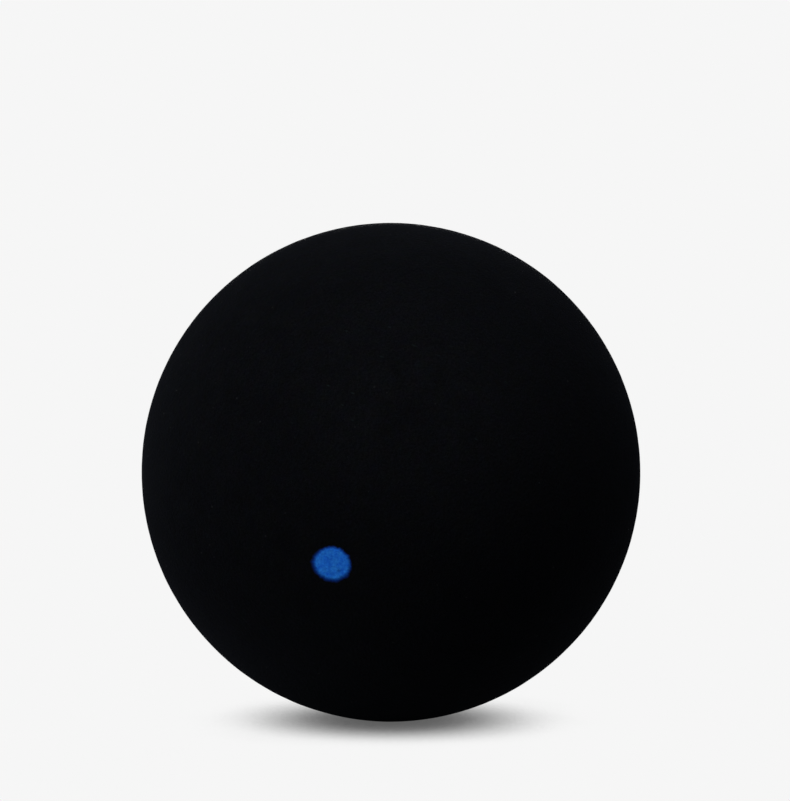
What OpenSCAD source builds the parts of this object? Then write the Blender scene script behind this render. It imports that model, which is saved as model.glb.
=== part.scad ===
// Squash ball: two moulded rubber half shells, the cement that joins their rims, and a stamped dot.
// The origin is the centre of the ball, +Z is up, and the dot is on the front, which faces -Y.
// The seam lies in the upright XZ plane, so the front half shell is the half towards -Y.

/* [Ball] */
// Outside diameter of the finished ball
ball_d = 40; // [36:0.5:46]
// Thickness of the rubber wall
wall_t = 5; // [3:0.1:7]

/* [Seam] */
// Thickness of the film of cement between the two rims
bond_t = 0.2; // [0.1:0.05:0.5]
// Radius of the bead of cement squeezed out along the inside of the seam
bead_r = 0.5; // [0.3:0.05:1]

/* [Dot] */
// Diameter of the stamped dot
dot_d = 2.9; // [1.5:0.1:6]
// Thickness of the paint
dot_t = 0.05; // [0.03:0.01:0.2]
// Angle in degrees that the dot is turned from the front, towards -X
dot_turn = 13.7; // [-60:0.1:60]
// Angle in degrees that the dot lies below the middle height of the ball
dot_dip = 14.7; // [-60:0.1:60]

/* [Hidden] */
ball_r = ball_d / 2;
hollow_r = ball_r - wall_t;
dot_r = dot_d / 2;
// How far cutting shapes run past what they cut
overrun = 1;
$fn = 180;

rubber_black = [0.045, 0.045, 0.055];
cement_black = [0.09, 0.085, 0.08];
dot_blue = [0.08, 0.30, 0.61];

// Ring between two radii, the section of every layer of the ball
module layer_section(inner_r, outer_r) {
    difference() {
        circle(outer_r);
        circle(inner_r);
    }
}

// Half of the wall, from the pole down to its flat rim, turned about Z
module half_shell() {
    rotate_extrude()
        intersection() {
            layer_section(hollow_r, ball_r);
            translate([0, bond_t / 2])
                square([ball_r + overrun, ball_r + overrun]);
        }
}

// Film of cement as wide as the wall, flush with the outside
module bond_section() {
    intersection() {
        layer_section(hollow_r, ball_r);
        translate([0, -bond_t / 2])
            square([ball_r + overrun, bond_t]);
    }
}

// Bead of cement that lies against the inside of both half shells
module bead_section() {
    intersection() {
        circle(hollow_r);
        translate([hollow_r, 0])
            circle(bead_r);
    }
}

module front_half_shell() {
    color(rubber_black)
        rotate([90, 0, 0])
            half_shell();
}

module rear_half_shell() {
    color(rubber_black)
        rotate([-90, 0, 0])
            half_shell();
}

module seam_bond() {
    color(cement_black)
        rotate([90, 0, 0])
            rotate_extrude() {
                bond_section();
                bead_section();
            }
}

// Round skin of paint that follows the curve of the ball
module paint_dot() {
    color(dot_blue)
        rotate([90 + dot_dip, 0, -dot_turn])
            rotate_extrude()
                intersection() {
                    layer_section(ball_r, ball_r + dot_t);
                    square([dot_r, ball_r + overrun]);
                }
}

front_half_shell();
rear_half_shell();
seam_bond();
paint_dot();
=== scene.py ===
import math

import bmesh
import bpy
from mathutils import Matrix, Vector, noise


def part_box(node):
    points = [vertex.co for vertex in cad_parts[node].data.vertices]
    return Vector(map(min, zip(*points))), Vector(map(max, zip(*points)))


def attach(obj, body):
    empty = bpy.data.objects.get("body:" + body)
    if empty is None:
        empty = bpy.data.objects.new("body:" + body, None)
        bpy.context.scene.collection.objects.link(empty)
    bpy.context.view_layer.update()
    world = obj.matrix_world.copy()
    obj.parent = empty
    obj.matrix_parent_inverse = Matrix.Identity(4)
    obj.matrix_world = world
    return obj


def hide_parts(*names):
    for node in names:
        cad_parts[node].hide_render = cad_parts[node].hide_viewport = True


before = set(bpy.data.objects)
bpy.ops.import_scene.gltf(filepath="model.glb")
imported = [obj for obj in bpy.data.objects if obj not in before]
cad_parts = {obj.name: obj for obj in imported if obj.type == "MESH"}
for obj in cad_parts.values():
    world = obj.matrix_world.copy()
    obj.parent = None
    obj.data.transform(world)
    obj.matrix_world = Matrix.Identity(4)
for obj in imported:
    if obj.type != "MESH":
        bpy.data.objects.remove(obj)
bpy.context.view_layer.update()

# Lengths are in metres, and MM turns the millimetres of small features into them
MM = 0.001

# Sizes of the ball, all read from the frame
FRONT_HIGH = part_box("front_half_shell")[1]
BALL_R = FRONT_HIGH.z
HALF_BOND = -FRONT_HIGH.y
BEAD_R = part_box("seam_bond")[1].y
HOLLOW_R = min(v.co.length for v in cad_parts["front_half_shell"].data.vertices)
FRONT = Vector((0, -1, 0))
REAR = Vector((0, 1, 0))

# Relief of the buffed rubber: height and cycles per millimetre of each layer, and shifts of their noise
OUT_OF_ROUND = (0.018 * MM, 0.06)
BUFFING = (0.010 * MM, 0.35)
BUFFING_SHIFT = Vector((3.1, 17.9, 5.3))
GRAIN = (0.006 * MM, 1.3)
GRAIN_SHIFT = Vector((11.3, 4.7, 8.1))
GRAIN_OCTAVES = 3

# In layered noise each octave is this many times finer than the one before, and at a fall of 1 it is lower
# by the same factor
OCTAVE_FINER = 2.0
OCTAVE_FALL = 1.0

# The seam's hairline groove: depth and width
SEAM_DIP = 0.030 * MM
SEAM_DIP_W = 0.16 * MM

# How much the bead of cement swells and shrinks round the ring, and the cycles of that per millimetre
BEAD_WAVE = 0.10 * MM
BEAD_WAVE_CYCLES = 0.5

# Mesh counts: squares along a side of each shell's skin and of the dot, skin squares for each one of the
# inside, and steps round the seam and round the bead
OUTER_COUNT = 280
DOT_COUNT = 110
FAN = 4
BOND_STEPS = 720
BEAD_STEPS = 10

# Edge of the stamped dot: its share of the solid dot's radius, slow waves round it as cycles, share and
# angle in degrees, and ragged noise as share and cycles
DOT_EDGE_SHARE = 0.940
DOT_WAVES = [
    (1, 0.064, -65), (2, 0.028, 13), (3, 0.008, -37), (4, 0.008, -7), (7, 0.008, 18), (11, 0.009, -10)
]
DOT_EDGE_NOISE = [(0.020, 5.0), (0.036, 8.5)]

# Share of the paint that is left at the dot's edge, and the width inside the edge over which it thins out
EDGE_PAINT = 0.5
DOT_THINNING = 0.18 * MM

# Past the edge the paint ends in a fringe, wider on one side: its least and greatest width, the angle of
# that side, how the width swings round the dot, and ragged noise as a share of the width and cycles
DOT_FRINGE_W = (0.19 * MM, 0.34 * MM)
DOT_FRINGE_AT = math.radians(-130)
DOT_FRINGE_SWING = (0.5, 0.7)
DOT_FRINGE_RAGGED = (0.45, 5.0)

# A small tag of thin paint that sticks out of the fringe: its angle, spread and length
DOT_TAG_AT = math.radians(180)
DOT_TAG_SPREAD = math.radians(10)
DOT_TAG = 0.10 * MM

# Film of the dot: how deep its rim sinks into the rubber and from what share of the way out, and a ridge
# inside the edge: its height as a share of the film, and its width, which is also how far inside it stands
DOT_SINK = 0.020 * MM
DOT_RIM_SHARE = 0.97
DOT_RIDGE_SHARE = 0.20
DOT_RIDGE_W = 0.16 * MM

# Uneven thickness of the film: share of it, cycles per millimetre and octaves
DOT_UNEVEN_SHARE = 0.18
DOT_UNEVEN_CYCLES = 3.0
DOT_UNEVEN_OCTAVES = 3

# Places where the stamp left too little paint: across, up, reach across and reach up in millimetres, and
# the share that is missing
DOT_THIN = [
    (0.52, -0.66, 0.16, 0.16, 0.38),
    (0.70, -0.60, 0.14, 0.08, 0.18),
    (0.04, 0.40, 0.55, 0.40, 0.10),
    (-0.75, 0.72, 0.30, 0.22, 0.08),
]


def layered_noise(place, octaves):
    """Noise of several octaves."""
    return noise.fractal(place, OCTAVE_FALL, OCTAVE_FINER, octaves)


def skin_height(direction):
    """Height of the outer skin over the round ball, in one direction from the centre."""
    place = direction * (BALL_R / MM)
    height = OUT_OF_ROUND[0] * noise.noise(place * OUT_OF_ROUND[1])
    height += BUFFING[0] * noise.noise(place * BUFFING[1] + BUFFING_SHIFT)
    height += GRAIN[0] * layered_noise(place * GRAIN[1] + GRAIN_SHIFT, GRAIN_OCTAVES)
    return height


def outer_radius(direction):
    """Radius of the shells' outer skin, with the groove along the seam."""
    from_rim = abs(direction.y) * BALL_R - HALF_BOND
    groove = SEAM_DIP * math.exp(-((from_rim / SEAM_DIP_W) ** 2))
    return BALL_R + skin_height(direction) - groove


def inner_radius(_direction):
    """Radius of the smooth moulded inside, the same in every direction."""
    return HOLLOW_R


def disc_place(across, up):
    """Share of the radius and angle of a square's point, when the square is drawn out to a disc."""
    if across == 0 and up == 0:
        return 0.0, 0.0
    if abs(across) > abs(up):
        return across, math.pi / 4 * up / across
    return up, math.pi / 2 - math.pi / 4 * across / up


def square_points(count):
    """Rows of points over the square from -1 to 1, as one list."""
    steps = [2 * i / count - 1 for i in range(count + 1)]
    return [(across, up) for up in steps for across in steps]


def square_faces(count, first=0):
    """Faces between the rows of square_points, whose numbers start at first."""
    row = count + 1
    corners = [first + j * row + i for j in range(count) for i in range(count)]
    return [(c, c + 1, c + row + 1, c + row) for c in corners]


def square_edge(count, first=0):
    """Numbers of the points round the edge of the square, in order."""
    row = count + 1
    below = [first + i for i in range(count)]
    right = [first + j * row + count for j in range(count)]
    above = [first + count * row + count - i for i in range(count)]
    left = [first + (count - j) * row for j in range(count)]
    return below + right + above + left


def cap_points(count, pole, radius_of):
    """Points of even spacing from a pole of the ball down to the flat rim of its half."""
    turn = pole.to_track_quat("Z", "Y").to_matrix()
    rim_angle = math.acos(HALF_BOND / radius_of(pole))
    points = []
    for across, up in square_points(count):
        share, angle = disc_place(across, up)
        polar = 2 * math.asin(abs(share) * math.sin(rim_angle / 2))
        side = math.copysign(math.sin(polar), share)
        direction = turn @ Vector((side * math.cos(angle), side * math.sin(angle), math.cos(polar)))
        points.append(direction * radius_of(direction))
    return points


def fan_faces(dense, coarse):
    """Faces between a ring of points and a ring that has one for each FAN of them."""
    faces = []
    for i in range(len(coarse)):
        here, after = coarse[i], coarse[(i + 1) % len(coarse)]
        faces.append((here, dense[i * FAN + FAN // 2], after))
        for j in range(FAN):
            start, end = dense[i * FAN + j], dense[(i * FAN + j + 1) % len(dense)]
            faces.append((start, end, here if j < FAN // 2 else after))
    return faces


def outward(mesh):
    """Turns all faces of a closed mesh to point out of it."""
    edit = bmesh.new()
    edit.from_mesh(mesh)
    bmesh.ops.recalc_face_normals(edit, faces=edit.faces)
    edit.to_mesh(mesh)
    edit.free()


def new_piece(name, points, faces, material, replaced):
    """A closed mesh that stands for a CAD node and rides on the ball."""
    mesh = bpy.data.meshes.new(name)
    mesh.from_pydata(points, [], faces)
    mesh.materials.append(material)
    piece = bpy.data.objects.new(name, mesh)
    bpy.context.scene.collection.objects.link(piece)
    outward(mesh)
    mesh.shade_smooth()
    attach(piece, "root")
    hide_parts(replaced)
    return piece


def half_shell(name, pole, replaced, material):
    """Half of the rubber wall: fine outer skin, flat rim and moulded inside."""
    inner_count = OUTER_COUNT // FAN
    points = cap_points(OUTER_COUNT, pole, outer_radius)
    first = len(points)
    points += cap_points(inner_count, pole, inner_radius)
    faces = square_faces(OUTER_COUNT) + square_faces(inner_count, first)
    faces += fan_faces(square_edge(OUTER_COUNT), square_edge(inner_count, first))
    return new_piece(name, points, faces, material, replaced)


def bond_section(angle):
    """Section of the film and its bead at one place round the seam: radius and height of each point."""
    direction = Vector((math.cos(angle), 0, math.sin(angle)))
    edge = BALL_R + skin_height(direction) - SEAM_DIP
    bead = BEAD_R + BEAD_WAVE * noise.noise(direction * (HOLLOW_R / MM) * BEAD_WAVE_CYCLES)
    section = [(edge, -HALF_BOND), (edge, HALF_BOND), (HOLLOW_R, HALF_BOND)]
    for step in range(BEAD_STEPS + 1):
        turn = math.pi / 2 - math.pi * step / BEAD_STEPS
        height = bead * math.sin(turn)
        seat = math.sqrt(HOLLOW_R**2 - height**2)
        section.append((seat - bead * math.cos(turn), height))
    section.append((HOLLOW_R, -HALF_BOND))
    return section


def seam_bond(material):
    """Ring of cement: the film between the rims and the bead along the inside."""
    angles = [2 * math.pi * step / BOND_STEPS for step in range(BOND_STEPS)]
    sections = [bond_section(angle) for angle in angles]
    points = []
    for angle, section in zip(angles, sections):
        points += [Vector((r * math.cos(angle), y, r * math.sin(angle))) for r, y in section]
    size = len(sections[0])
    faces = []
    for step in range(BOND_STEPS):
        here, there = step * size, (step + 1) % BOND_STEPS * size
        for i in range(size):
            after = (i + 1) % size
            faces.append((here + i, here + after, there + after, there + i))
    return new_piece("cement_ring", points, faces, material, "seam_bond")


def dot_frame():
    """Rotation that takes +Z to the dot's centre, the dot's radius and the paint's thickness."""
    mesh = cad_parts["paint_dot"].data
    centre = sum((f.center * f.area for f in mesh.polygons), Vector())
    axis = centre.normalized()
    radius = max((v.co - axis * v.co.dot(axis)).length for v in mesh.vertices)
    film = max(v.co.length for v in mesh.vertices) - BALL_R
    up = (Vector((0, 0, 1)) - axis * axis.z).normalized()
    turn = Matrix((up.cross(axis), up, axis)).transposed()
    return turn, radius, film


def smooth(value):
    """Smooth step from 0 to 1."""
    value = min(1.0, max(0.0, value))
    return value * value * (3 - 2 * value)


def dot_outline(angle):
    """The dot's outline at one angle, as a share of the radius that the edge has on average."""
    share = 1.0
    for cycles, size, start in DOT_WAVES:
        share += size * math.cos(cycles * (angle - math.radians(start)))
    round_place = Vector((math.cos(angle), math.sin(angle), 0))
    for size, cycles in DOT_EDGE_NOISE:
        share += size * noise.noise(round_place * cycles)
    return share


def dot_fringe(angle):
    """Width of the fringe of thin paint at one angle: wider on one side, ragged, and longer at the tag."""
    thin, wide = DOT_FRINGE_W
    middle, swing = DOT_FRINGE_SWING
    wide_side = smooth(middle + swing * math.cos(angle - DOT_FRINGE_AT))
    size, cycles = DOT_FRINGE_RAGGED
    ragged = 1 + size * noise.noise(Vector((math.cos(angle), math.sin(angle), 1)) * cycles)
    from_tag = math.remainder(angle - DOT_TAG_AT, 2 * math.pi)
    tag = DOT_TAG * math.exp(-((from_tag / DOT_TAG_SPREAD) ** 2))
    return (thin + (wide - thin) * wide_side) * ragged + tag


def dot_missing(x, y):
    """Share of the paint that the stamp didn't leave at one place of the dot."""
    missing = 0.0
    for across, up, reach_across, reach_up, share in DOT_THIN:
        away = math.hypot((x / MM - across) / reach_across, (y / MM - up) / reach_up)
        missing = max(missing, share * math.exp(-(away**2)))
    return missing


def paint_left(past_edge, fringe):
    """Share of paint at a distance past the dot's edge."""
    if past_edge < 0:
        return EDGE_PAINT + (1 - EDGE_PAINT) * smooth(-past_edge / DOT_THINNING)
    return EDGE_PAINT * (1 - past_edge / fringe) ** 2


def film_at(x, y, past_edge, fringe, direction):
    """Height of the paint over the rubber, as a share of the film, and how much paint is there."""
    paint = paint_left(past_edge, fringe) * (1 - dot_missing(x, y))
    uneven = layered_noise(direction * (BALL_R / MM) * DOT_UNEVEN_CYCLES, DOT_UNEVEN_OCTAVES)
    ridge = DOT_RIDGE_SHARE * math.exp(-(((past_edge + DOT_RIDGE_W) / DOT_RIDGE_W) ** 2))
    return paint * (1 - DOT_UNEVEN_SHARE + DOT_UNEVEN_SHARE * uneven + ridge), paint


def dot_top():
    """Points of the paint's outside, and how much paint is at each."""
    turn, radius, film = dot_frame()
    points, paint = [], []
    for across, up in square_points(DOT_COUNT):
        share, angle = disc_place(across, up)
        if share < 0:
            share, angle = -share, angle + math.pi
        edge, fringe = radius * DOT_EDGE_SHARE * dot_outline(angle), dot_fringe(angle)
        off_centre = share * (edge + fringe)
        x, y = off_centre * math.cos(angle), off_centre * math.sin(angle)
        direction = turn @ Vector((x, y, math.sqrt(BALL_R**2 - off_centre**2))).normalized()
        height, amount = film_at(x, y, off_centre - edge, fringe, direction)
        sunk = DOT_SINK * smooth((share - DOT_RIM_SHARE) / (1 - DOT_RIM_SHARE))
        points.append(direction * (BALL_R + skin_height(direction) + height * film - sunk))
        paint.append(amount)
    return points, paint


def paint_dot(material):
    """Skin of paint: a film with a ragged edge and a thin fringe, whose rim sinks into the rubber."""
    points, paint = dot_top()
    below = {n: n for n in square_edge(DOT_COUNT)}
    for number in range(len(points)):
        if number not in below:
            below[number] = len(points)
            direction = points[number].normalized()
            points.append(direction * (BALL_R + skin_height(direction) - DOT_SINK))
            paint.append(paint[number])
    top = square_faces(DOT_COUNT)
    faces = top + [tuple(below[n] for n in reversed(face)) for face in top]
    piece = new_piece("blue_dot", points, faces, material, "paint_dot")
    piece.data.attributes.new("paint", "FLOAT", "POINT").data.foreach_set("value", paint)
    return piece


# Numbers of the mix node's two colour sockets and of its colour result
MIX_COLOURS = (6, 7)
MIX_RESULT = 2

# Whole spans, and the spans of noise that are drawn out to a full change
NONE_TO_ALL = (0, 1)
ALL_TO_NONE = (1, 0)
NOISE_SPAN = (0.3, 0.7)
GRAIN_SPAN = (0.25, 0.75)


def new_material(name):
    """A new material, its node tree and its shader."""
    material = bpy.data.materials.new(name)
    material.use_nodes = True
    return material, material.node_tree, material.node_tree.nodes["Principled BSDF"]


def feed(tree, socket, value):
    """Links a socket to another node's output, or gives it a value of its own."""
    if isinstance(value, bpy.types.NodeSocket):
        tree.links.new(value, socket)
    else:
        socket.default_value = value


def finish_with(shader, values):
    """Sets the values that are the same all over a surface on the shader's own sockets."""
    for name, value in values.items():
        shader.inputs[name].default_value = value


def scaled(tree, vector, factor):
    """A vector or a colour times a number."""
    made = tree.nodes.new("ShaderNodeVectorMath")
    made.operation = "SCALE"
    feed(tree, made.inputs[0], vector)
    feed(tree, made.inputs["Scale"], factor)
    return made.outputs[0]


def millimetres(tree):
    """The piece's own coordinates, in millimetres."""
    place = tree.nodes.new("ShaderNodeTexCoord")
    return scaled(tree, place.outputs["Object"], 1 / MM)


def axis_of(tree, place, axis):
    """One coordinate of a place, by its letter."""
    made = tree.nodes.new("ShaderNodeSeparateXYZ")
    feed(tree, made.inputs[0], place)
    return made.outputs[axis]


def noise_node(tree, place, cycles, detail, roughness=0.5):
    """Noise over the piece, with its coarsest cycles per millimetre."""
    made = tree.nodes.new("ShaderNodeTexNoise")
    made.inputs["Scale"].default_value = cycles
    made.inputs["Detail"].default_value = detail
    made.inputs["Roughness"].default_value = roughness
    feed(tree, made.inputs["Vector"], place)
    return made


def noise_of(tree, place, *values):
    """The noise as one number at each place."""
    return noise_node(tree, place, *values).outputs["Fac"]


def span_of(tree, value, span, result, smooth_step=False):
    """A value taken from one span to another, and held at their ends."""
    made = tree.nodes.new("ShaderNodeMapRange")
    made.interpolation_type = "SMOOTHSTEP" if smooth_step else "LINEAR"
    for name, number in zip(("From Min", "From Max", "To Min", "To Max"), (*span, *result)):
        made.inputs[name].default_value = number
    feed(tree, made.inputs["Value"], value)
    return made.outputs["Result"]


def mix_of(tree, share, first, second):
    """Mix of two colours, each a colour or a socket."""
    made = tree.nodes.new("ShaderNodeMix")
    made.data_type = "RGBA"
    feed(tree, made.inputs["Factor"], share)
    for index, colour in zip(MIX_COLOURS, (first, second)):
        feed(tree, made.inputs[index], (*colour, 1) if isinstance(colour, tuple) else colour)
    return made.outputs[MIX_RESULT]


def math_of(tree, operation, *values):
    """Result of one operation on numbers, each a number or a socket."""
    made = tree.nodes.new("ShaderNodeMath")
    made.operation = operation
    for socket, value in zip(made.inputs, values):
        feed(tree, socket, value)
    return made.outputs[0]


def bump_of(tree, height, distance):
    """Surface direction over a relief, whose height from 0 to 1 is a distance in metres."""
    made = tree.nodes.new("ShaderNodeBump")
    made.inputs["Distance"].default_value = distance
    feed(tree, made.inputs["Height"], height)
    return made.outputs["Normal"]


def specks(tree, place, cell, share, radii):
    """Specks of dust: one small soft dot in a share of the cells, each of its own size and strength."""
    cells = tree.nodes.new("ShaderNodeTexVoronoi")
    cells.inputs["Scale"].default_value = 1 / cell
    feed(tree, cells.inputs["Vector"], place)
    chance = tree.nodes.new("ShaderNodeSeparateColor")
    feed(tree, chance.inputs["Color"], cells.outputs["Color"])
    chosen = math_of(tree, "LESS_THAN", chance.outputs[0], share)
    least, most = [radius / cell for radius in radii]
    radius = span_of(tree, chance.outputs[1], NONE_TO_ALL, (least, most))
    inside = math_of(tree, "SUBTRACT", radius, cells.outputs["Distance"])
    soft = span_of(tree, inside, (0, least), NONE_TO_ALL)
    strength = math_of(tree, "MULTIPLY", soft, chance.outputs[2])
    return math_of(tree, "MULTIPLY", strength, chosen)


# Noise in the materials is cycles per millimetre, detail and, in some, roughness. The rubber and the paint
# share the fine grain.
FINE_GRAIN = (6.0, 1, 0.6)

# Rubber: colour, mottle and its tones, the tones of the grain, and the noise and height of the relief
RUBBER = (0.0021, 0.00225, 0.0028)
RUBBER_MOTTLE = (0.45, 3)
RUBBER_TONE = (0.87, 1.13)
GRAIN_TONE = (0.71, 1.29)
RELIEF = (4.0, 1.0)
RELIEF_BUMP = 0.072 * MM
RUBBER_ROUGHNESS = (0.80, 0.95)
RUBBER_FINISH = {
    "Diffuse Roughness": 0.3,
    "Specular IOR Level": 0.0003,
    "Sheen Weight": 0.0104,
    "Sheen Roughness": 0.6,
    "Sheen Tint": (0.70, 0.79, 1.0, 1),
}

# The tint wanders by this share, and in the blue by so many times as much
TINT_NOISE = (1.6, 2)
TINT_SWING = 0.18
TINT_BLUE = 2

# Painted light and shade: the rubber's tone at the bottom and the top of the ball, darker below and lighter
# above, and a painted highlight, a paler patch on the front where the marks of dust are also stronger,
# whose centre, least and greatest reach and unevenness are in millimetres, and how much paler it is
PAINTED_LIGHT_BY_HEIGHT = (0.65, 1.15)
HIGHLIGHT_PATCH_AT = (2.0, -18.5, 7.0)
HIGHLIGHT_PATCH_REACH = (3.0, 14.0)
HIGHLIGHT_PATCH_UNEVEN = 1.5
PAINTED_HIGHLIGHT_TONE = 1.35

# Long marks of dust: colour, lean, stretch, cells and half widths in millimetres, share of the cells that
# hold one, and strength off the patch of painted highlight
MARK = (0.0058, 0.0090, 0.0096)
MARK_LEAN = math.radians(28)
MARK_STRETCH = 4.0
MARK_CELL = 0.6
MARK_SHARE = 0.8
MARK_R = (0.04, 0.09)
MARK_OFF_PATCH = 0.3

# Round specks of lint: colour, and a paler colour near the seam that is a painted highlight on the specks
# along the ball's outline seen from the front, the distances from the seam between which it changes, cells
# and radii, in millimetres, and share of the cells that hold one
LINT = (0.0085, 0.0088, 0.0096)
LINT_HIGHLIGHTED = (0.027, 0.0275, 0.029)
LINT_HIGHLIGHT_BAND = (3.0, 16.0)
LINT_CELL = 0.95
LINT_SHARE = 0.8
LINT_R = (0.04, 0.10)


def tinted(tree, place, colour):
    """A colour whose tint wanders a little over the surface."""
    swings = (TINT_SWING, TINT_SWING, TINT_BLUE * TINT_SWING)
    wander = noise_node(tree, place, *TINT_NOISE)
    shift = tree.nodes.new("ShaderNodeVectorMath")
    shift.operation = "MULTIPLY_ADD"
    feed(tree, shift.inputs[0], wander.outputs["Color"])
    feed(tree, shift.inputs[1], [2 * swing for swing in swings])
    feed(tree, shift.inputs[2], [1 - swing for swing in swings])
    made = tree.nodes.new("ShaderNodeVectorMath")
    made.operation = "MULTIPLY"
    feed(tree, made.inputs[0], colour)
    feed(tree, made.inputs[1], shift.outputs[0])
    return made.outputs[0]


def highlight_and_dust_patch(tree, place, mottle):
    """Share of a soft, uneven patch on the front: painted highlight, and stronger marks of dust."""
    away = tree.nodes.new("ShaderNodeVectorMath")
    away.operation = "DISTANCE"
    feed(tree, away.inputs[0], place)
    feed(tree, away.inputs[1], HIGHLIGHT_PATCH_AT)
    uneven = span_of(tree, mottle, NOISE_SPAN, (-HIGHLIGHT_PATCH_UNEVEN, HIGHLIGHT_PATCH_UNEVEN))
    reach = math_of(tree, "ADD", away.outputs["Value"], uneven)
    return span_of(tree, reach, HIGHLIGHT_PATCH_REACH, ALL_TO_NONE, True)


def painted_light_of(tree, place, highlight_and_dust):
    """Painted light and shade: darker towards the bottom, lighter towards the top, and a painted highlight
    in the patch.
    """
    height = math_of(tree, "DIVIDE", axis_of(tree, place, "Z"), BALL_R / MM)
    shade_and_light_by_height = span_of(tree, height, (-1, 1), PAINTED_LIGHT_BY_HEIGHT)
    patch = span_of(tree, highlight_and_dust, NONE_TO_ALL, (1, PAINTED_HIGHLIGHT_TONE))
    return math_of(tree, "MULTIPLY", shade_and_light_by_height, patch)


def marks_of(tree, place, highlight_and_dust):
    """Strength of the marks of dust, which are long, lean to one side and are fainter off the patch."""
    leaning = tree.nodes.new("ShaderNodeMapping")
    leaning.vector_type = "TEXTURE"
    leaning.inputs["Rotation"].default_value = (0, MARK_LEAN, 0)
    leaning.inputs["Scale"].default_value = (MARK_STRETCH, 1, 1)
    feed(tree, leaning.inputs["Vector"], place)
    marks = specks(tree, leaning.outputs["Vector"], MARK_CELL, MARK_SHARE, MARK_R)
    amount = span_of(tree, highlight_and_dust, NONE_TO_ALL, (MARK_OFF_PATCH, 1))
    return math_of(tree, "MULTIPLY", marks, amount)


def lint_with_highlight_colour(tree, place):
    """Colour of the specks of lint, with a painted highlight that makes them paler in the band along the
    seam.
    """
    from_seam = math_of(tree, "ABSOLUTE", axis_of(tree, place, "Y"))
    lint_highlight_share = span_of(tree, from_seam, LINT_HIGHLIGHT_BAND, ALL_TO_NONE, True)
    return mix_of(tree, lint_highlight_share, LINT, LINT_HIGHLIGHTED)


def rubber_colour(tree, place, grain):
    """Colour of the rubber with its marks and lint, and painted light and shade on the rubber and the lint.
    """
    mottle = noise_of(tree, place, *RUBBER_MOTTLE)
    highlight_and_dust = highlight_and_dust_patch(tree, place, mottle)
    colour = tinted(tree, place, RUBBER)
    colour = scaled(tree, colour, span_of(tree, mottle, NOISE_SPAN, RUBBER_TONE))
    colour = scaled(tree, colour, span_of(tree, grain, GRAIN_SPAN, GRAIN_TONE))
    colour = mix_of(tree, marks_of(tree, place, highlight_and_dust), colour, MARK)
    # Painted light and shade: lighter on top and in the patch on the front, darker below
    colour = scaled(tree, colour, painted_light_of(tree, place, highlight_and_dust))
    lint = specks(tree, place, LINT_CELL, LINT_SHARE, LINT_R)
    # Lint, with a painted highlight in the band along the seam
    return mix_of(tree, lint, colour, lint_with_highlight_colour(tree, place))


def rubber_material():
    """Matt black rubber with a fine buffed grain, marks and lint, and painted light and shade in its
    colour.
    """
    material, tree, shader = new_material("buffed_rubber")
    place = millimetres(tree)
    grain = noise_of(tree, place, *FINE_GRAIN)
    relief = noise_of(tree, place, *RELIEF)
    feed(tree, shader.inputs["Base Color"], rubber_colour(tree, place, grain))
    feed(tree, shader.inputs["Roughness"], span_of(tree, grain, NOISE_SPAN, RUBBER_ROUGHNESS))
    feed(tree, shader.inputs["Normal"], bump_of(tree, relief, RELIEF_BUMP))
    finish_with(shader, RUBBER_FINISH)
    return material


# Cement: dark and pale black, and its mottle
CEMENT = (0.0012, 0.0012, 0.0015)
CEMENT_PALE = (0.0020, 0.0020, 0.0023)
CEMENT_MOTTLE = (1.2, 3)
CEMENT_FINISH = {"Roughness": 0.6, "Specular IOR Level": 0.001, "Sheen Weight": 0.004}


def cement_material():
    """Cured black rubber cement, smoother than the rubber beside it."""
    material, tree, shader = new_material("rubber_cement")
    mottle = noise_of(tree, millimetres(tree), *CEMENT_MOTTLE)
    share = span_of(tree, mottle, NOISE_SPAN, NONE_TO_ALL)
    feed(tree, shader.inputs["Base Color"], mix_of(tree, share, CEMENT, CEMENT_PALE))
    finish_with(shader, CEMENT_FINISH)
    return material


# Paint: its two full blues and the mottle between them, the deep blue where only the share DOT_THIN_AT of
# the paint is left, and how much the grain shades and bumps it
DOT_BLUE = (0.0070, 0.092, 0.500)
DOT_BLUE_PALE = (0.0150, 0.144, 0.525)
DOT_BLUE_MOTTLE = (3.0, 4, 0.6)
DOT_BLUE_SPAN = (0.35, 0.65)
DOT_BLUE_THIN = (0.0025, 0.022, 0.155)
DOT_THIN_AT = 0.3
DOT_TONE = (0.87, 1.13)
DOT_BUMP = 0.0084 * MM
DOT_ROUGHNESS = (0.6, 0.8)
DOT_FINISH = {"Specular IOR Level": 0.01}


def paint_colour(tree, place, grain):
    """Blue of the paint: mottled where it is full, deeper where it is thin, and rubber where it ends."""
    cover = tree.nodes.new("ShaderNodeAttribute")
    cover.attribute_name = "paint"
    mottle = span_of(tree, noise_of(tree, place, *DOT_BLUE_MOTTLE), DOT_BLUE_SPAN, NONE_TO_ALL)
    full = mix_of(tree, mottle, DOT_BLUE, DOT_BLUE_PALE)
    full = scaled(tree, full, span_of(tree, grain, GRAIN_SPAN, DOT_TONE))
    inner = span_of(tree, cover.outputs["Fac"], (DOT_THIN_AT, 1), NONE_TO_ALL)
    colour = mix_of(tree, inner, DOT_BLUE_THIN, full)
    outer = span_of(tree, cover.outputs["Fac"], (0, DOT_THIN_AT), NONE_TO_ALL)
    return mix_of(tree, outer, RUBBER, colour)


def paint_material():
    """Matt blue stamped paint."""
    material, tree, shader = new_material("blue_paint")
    place = millimetres(tree)
    grain = noise_of(tree, place, *FINE_GRAIN)
    feed(tree, shader.inputs["Base Color"], paint_colour(tree, place, grain))
    feed(tree, shader.inputs["Roughness"], span_of(tree, grain, NOISE_SPAN, DOT_ROUGHNESS))
    feed(tree, shader.inputs["Normal"], bump_of(tree, grain, DOT_BUMP))
    finish_with(shader, DOT_FINISH)
    return material


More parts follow.
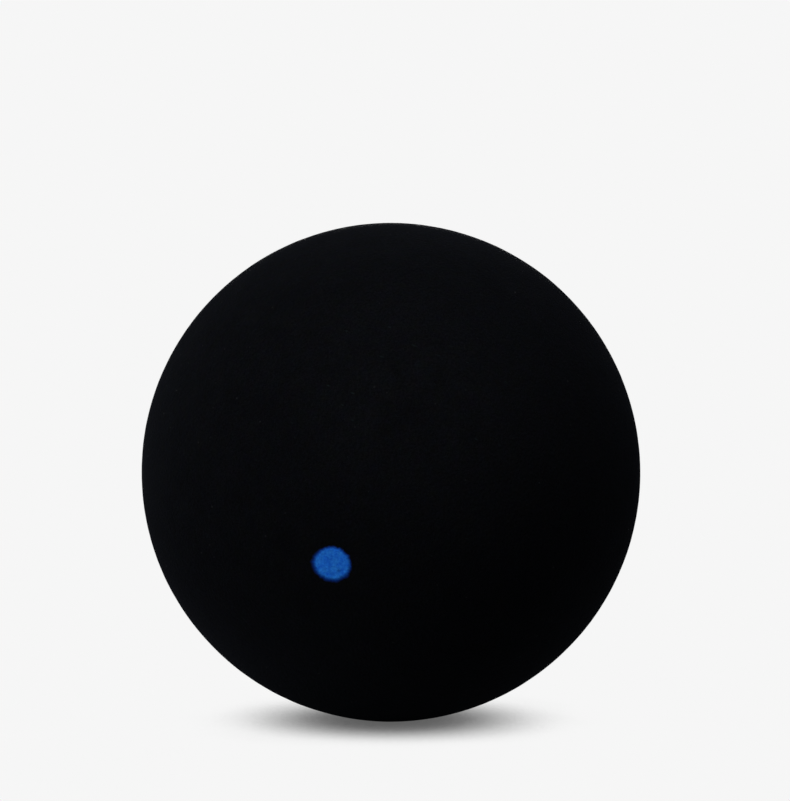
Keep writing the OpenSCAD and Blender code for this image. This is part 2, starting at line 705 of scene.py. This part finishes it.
# Camera: the photograph's frame, and where the ball's outline lies in it, in pixels
IMAGE_W, IMAGE_H = 790, 801
OUTLINE_X, OUTLINE_Y, OUTLINE_R = 391.0, 472.2, 249.4
CAM_DISTANCE = 0.5
CAM_ELEVATION = math.radians(6)
CAM_CLIP_START = 0.01
SENSOR = 36.0


def add_camera():
    """Camera that looks a little down at the ball and shows its outline where the photograph does."""
    focal = OUTLINE_R * math.sqrt(CAM_DISTANCE**2 - BALL_R**2) / BALL_R
    data = bpy.data.cameras.new("camera")
    data.sensor_width = SENSOR
    data.lens = SENSOR * focal / IMAGE_H
    data.clip_start = CAM_CLIP_START
    camera = bpy.data.objects.new("camera", data)
    bpy.context.scene.collection.objects.link(camera)
    back = Vector((0, -math.cos(CAM_ELEVATION), math.sin(CAM_ELEVATION)))
    straight = (-back).to_track_quat("-Z", "Y")
    ball = Vector((OUTLINE_X - IMAGE_W / 2, IMAGE_H / 2 - OUTLINE_Y, -focal))
    camera.location = back * CAM_DISTANCE
    camera.rotation_mode = "QUATERNION"
    camera.rotation_quaternion = straight @ ball.rotation_difference(Vector((0, 0, -1)))
    bpy.context.scene.camera = camera


# Light: the distance of the softboxes, and the azimuth of each to the right of the camera and its height in
# degrees, its level and its width
LIGHT_DISTANCE = 0.6
SOFTBOXES = {
    "key": (-45, 30, 0.49, 0.22),
    "high_key": (-26, 65, 0.42, 0.22),
    "left": (-60, 8, 0.25, 0.40),
    "right_front": (40, 10, 0.08, 0.30),
    "right_top": (30, 60, 0.085, 0.22),
    "right": (90, 30, 0.08, 0.40),
    "rear": (180, 0, 0.85, 0.16),
}

# Level of the light from all round, and of the pale ground where it is seen
AMBIENT = 0.005
PALE = 0.9216

# Floor: its grey to the light and its size, and the contact shadow: its darkest level, the shares of open
# space between which it fades to the pale ground, the reach within which they are judged, and its samples
FLOOR_BOUNCE = 0.38
FLOOR_SIZE = 4.0
SHADOW_DARKEST = 0.107
SHADOW_OPEN = (0.032, 0.481)
SHADOW_REACH = 0.5
SHADOW_SAMPLES = 16


def add_softbox(name, azimuth, elevation, level, width):
    """A square lamp that faces the ball. At level 1, a white surface that faces it renders as white."""
    turn, rise = math.radians(azimuth), math.radians(elevation)
    towards = Vector((math.sin(turn) * math.cos(rise), -math.cos(turn) * math.cos(rise), math.sin(rise)))
    data = bpy.data.lights.new(name, "AREA")
    data.size = width
    data.energy = level * math.pi**2 * LIGHT_DISTANCE**2
    lamp = bpy.data.objects.new(name, data)
    lamp.location = towards * LIGHT_DISTANCE
    lamp.rotation_euler = towards.to_track_quat("Z", "Y").to_euler()
    bpy.context.scene.collection.objects.link(lamp)


def seen_directly(tree):
    """1 for rays that show the background, to the camera, in a gloss or through glass."""
    path = tree.nodes.new("ShaderNodeLightPath")
    either = math_of(tree, "MAXIMUM", path.outputs["Is Camera Ray"], path.outputs["Is Glossy Ray"])
    return math_of(tree, "MAXIMUM", either, path.outputs["Is Transmission Ray"])


def set_world():
    """Pale where it is seen, and a weak light from all round."""
    world = bpy.data.worlds.new("studio")
    world.use_nodes = True
    bpy.context.scene.world = world
    tree = world.node_tree
    background = tree.nodes["Background"]
    background.inputs["Color"].default_value = (1, 1, 1, 1)
    strength = span_of(tree, seen_directly(tree), NONE_TO_ALL, (AMBIENT, PALE))
    feed(tree, background.inputs["Strength"], strength)


def floor_material():
    """Pale where it is seen, with the ball's soft contact shadow, and a plain grey to the light."""
    material, tree, shader = new_material("studio_floor")
    shaded = tree.nodes.new("ShaderNodeAmbientOcclusion")
    shaded.samples = SHADOW_SAMPLES
    shaded.inputs["Distance"].default_value = SHADOW_REACH
    level = span_of(tree, shaded.outputs["AO"], SHADOW_OPEN, (SHADOW_DARKEST, PALE), True)
    pale = tree.nodes.new("ShaderNodeEmission")
    feed(tree, pale.inputs["Strength"], level)
    grey = tree.nodes.new("ShaderNodeBsdfDiffuse")
    grey.inputs["Color"].default_value = (FLOOR_BOUNCE, FLOOR_BOUNCE, FLOOR_BOUNCE, 1)
    mix = tree.nodes.new("ShaderNodeMixShader")
    feed(tree, mix.inputs[0], seen_directly(tree))
    feed(tree, mix.inputs[1], grey.outputs[0])
    feed(tree, mix.inputs[2], pale.outputs[0])
    feed(tree, tree.nodes["Material Output"].inputs["Surface"], mix.outputs[0])
    tree.nodes.remove(shader)
    return material


def add_floor():
    """Square floor under the ball."""
    half = FLOOR_SIZE / 2
    mesh = bpy.data.meshes.new("floor")
    corners = [(-half, -half), (half, -half), (half, half), (-half, half)]
    mesh.from_pydata([(x, y, -BALL_R) for x, y in corners], [], [(0, 1, 2, 3)])
    mesh.materials.append(floor_material())
    floor = bpy.data.objects.new("floor", mesh)
    bpy.context.scene.collection.objects.link(floor)


rubber = rubber_material()
half_shell("front_rubber", FRONT, "front_half_shell", rubber)
half_shell("rear_rubber", REAR, "rear_half_shell", rubber)
seam_bond(cement_material())
paint_dot(paint_material())

add_camera()
for name, values in SOFTBOXES.items():
    add_softbox(name, *values)
set_world()
add_floor()
bpy.context.scene.view_settings.view_transform = "Standard"
